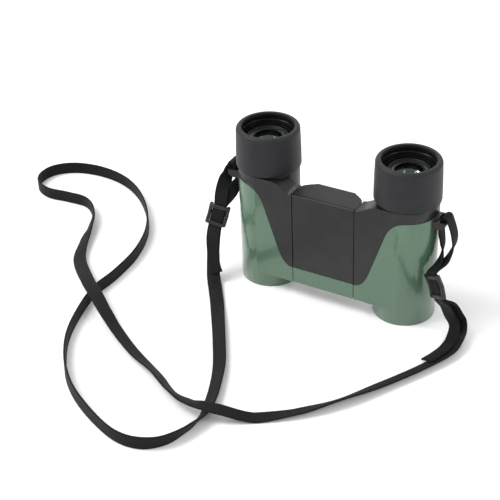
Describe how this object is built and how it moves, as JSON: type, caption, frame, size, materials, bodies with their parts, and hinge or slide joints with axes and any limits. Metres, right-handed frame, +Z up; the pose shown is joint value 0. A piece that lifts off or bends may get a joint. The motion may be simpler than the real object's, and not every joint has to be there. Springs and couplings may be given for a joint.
{
  "type": "compact folding binoculars",
  "caption": "Compact roof-prism binoculars with a flat double-hinged bridge, green shells, rubber eyecups, a focus wheel behind the bridge and a webbing neck strap with sliders.",
  "frame": {"origin": "on the standing surface, midway between the barrels of the binoculars standing on their objective ends, strap left out", "axes": "+X from the left barrel to the right one, +Z up towards the eyecups, -Y out of the bridge's flat face"},
  "size_m": [0.268, 0.182, 0.0825],
  "materials": {
    "black_plastic": "satin",
    "green_paint": "gloss",
    "rubber": "matt",
    "inner_black": "satin",
    "steel": "brushed",
    "brass": "turned",
    "coated_glass": "polished",
    "webbing": "woven",
    "slider_plastic": "satin"
  },
  "bodies": {
    "bridge": {"bridge_frame": "black_plastic", "bridge_face": "black_plastic", "bridge_strip": "green_paint", "bridge_back": "black_plastic", "left_hinge_pin": "steel", "right_hinge_pin": "steel", "hinge_washers": "brass", "cover_screws": "steel", "spindle_bushes": "brass", "strap": "webbing"},
    "left_barrel": {"left_housing": "black_plastic", "left_shell": "green_paint", "left_eyepiece_tube": "inner_black", "left_ocular_ring": "inner_black", "left_eye_lens": "coated_glass", "left_field_lens": "coated_glass", "left_prism_cage": "inner_black", "left_half_prism": "coated_glass", "left_roof_prism": "coated_glass", "left_objective_cell": "inner_black", "left_objective_lens": "coated_glass", "left_objective_ring": "inner_black", "left_strap_end": "webbing", "left_slider": "slider_plastic", "left_eyecup": "rubber"},
    "right_barrel": {"right_housing": "black_plastic", "right_shell": "green_paint", "right_prism_cage": "inner_black", "right_half_prism": "coated_glass", "right_roof_prism": "coated_glass", "right_objective_cell": "inner_black", "right_objective_lens": "coated_glass", "right_objective_ring": "inner_black", "right_strap_end": "webbing", "right_slider": "slider_plastic"},
    "focus_knob": {"focus_wheel": "inner_black", "focus_grip": "rubber", "focus_spindle": "steel"},
    "yoke": {"focus_yoke": "steel", "yoke_nut": "brass"},
    "left_carrier": {"left_focus_carrier": "inner_black", "left_focus_lens": "coated_glass"},
    "right_carrier": {"right_focus_carrier": "inner_black", "right_focus_lens": "coated_glass"},
    "dioptre": {"right_eyecup": "rubber", "right_dioptre_ring": "brass"},
    "ocular": {"right_eyepiece_tube": "inner_black", "right_ocular_ring": "inner_black", "right_eye_lens": "coated_glass", "right_field_lens": "coated_glass"}
  },
  "joints": [
    {"name": "left_fold", "type": "hinge", "parent": "bridge", "child": "left_barrel", "pos_m": [-0.012, -0.007, 0], "axis": [0, 0, -1], "range_deg": [0, 50], "deforming": ["left_strap_end"]},
    {"name": "right_fold", "type": "hinge", "parent": "bridge", "child": "right_barrel", "pos_m": [0.012, -0.007, 0], "axis": [0, 0, 1], "range_deg": [0, 50], "deforming": ["right_strap_end"]},
    {"name": "focus_turn", "type": "hinge", "parent": "bridge", "child": "focus_knob", "pos_m": [0, -0.0052, 0], "axis": [0, 0, 1], "range_deg": [-152, 152]},
    {"name": "focus_slide", "type": "slide", "parent": "bridge", "child": "yoke", "axis": [0, 0, 1], "range_m": [-0.0015, 0.0015]},
    {"name": "left_focus_slide", "type": "slide", "parent": "left_barrel", "child": "left_carrier", "axis": [0, 0, 1], "range_m": [-0.0016, 0.0016]},
    {"name": "right_focus_slide", "type": "slide", "parent": "right_barrel", "child": "right_carrier", "axis": [0, 0, 1], "range_m": [-0.0016, 0.0016]},
    {"name": "dioptre_turn", "type": "hinge", "parent": "right_barrel", "child": "dioptre", "pos_m": [0.036, 0, 0], "axis": [0, 0, 1], "range_deg": [-46, 46]},
    {"name": "ocular_slide", "type": "slide", "parent": "right_barrel", "child": "ocular", "axis": [0, 0, 1], "range_m": [-0.0008, 0.0008]}
  ],
  "couplings": [
    {"joint": "focus_turn", "follows": "focus_slide", "rad_per_m": 1745.2},
    {"joint": "left_focus_slide", "follows": "focus_slide", "ratio": 1},
    {"joint": "right_focus_slide", "follows": "focus_slide", "ratio": 1},
    {"joint": "dioptre_turn", "follows": "ocular_slide", "rad_per_m": 981.75}
  ]
}
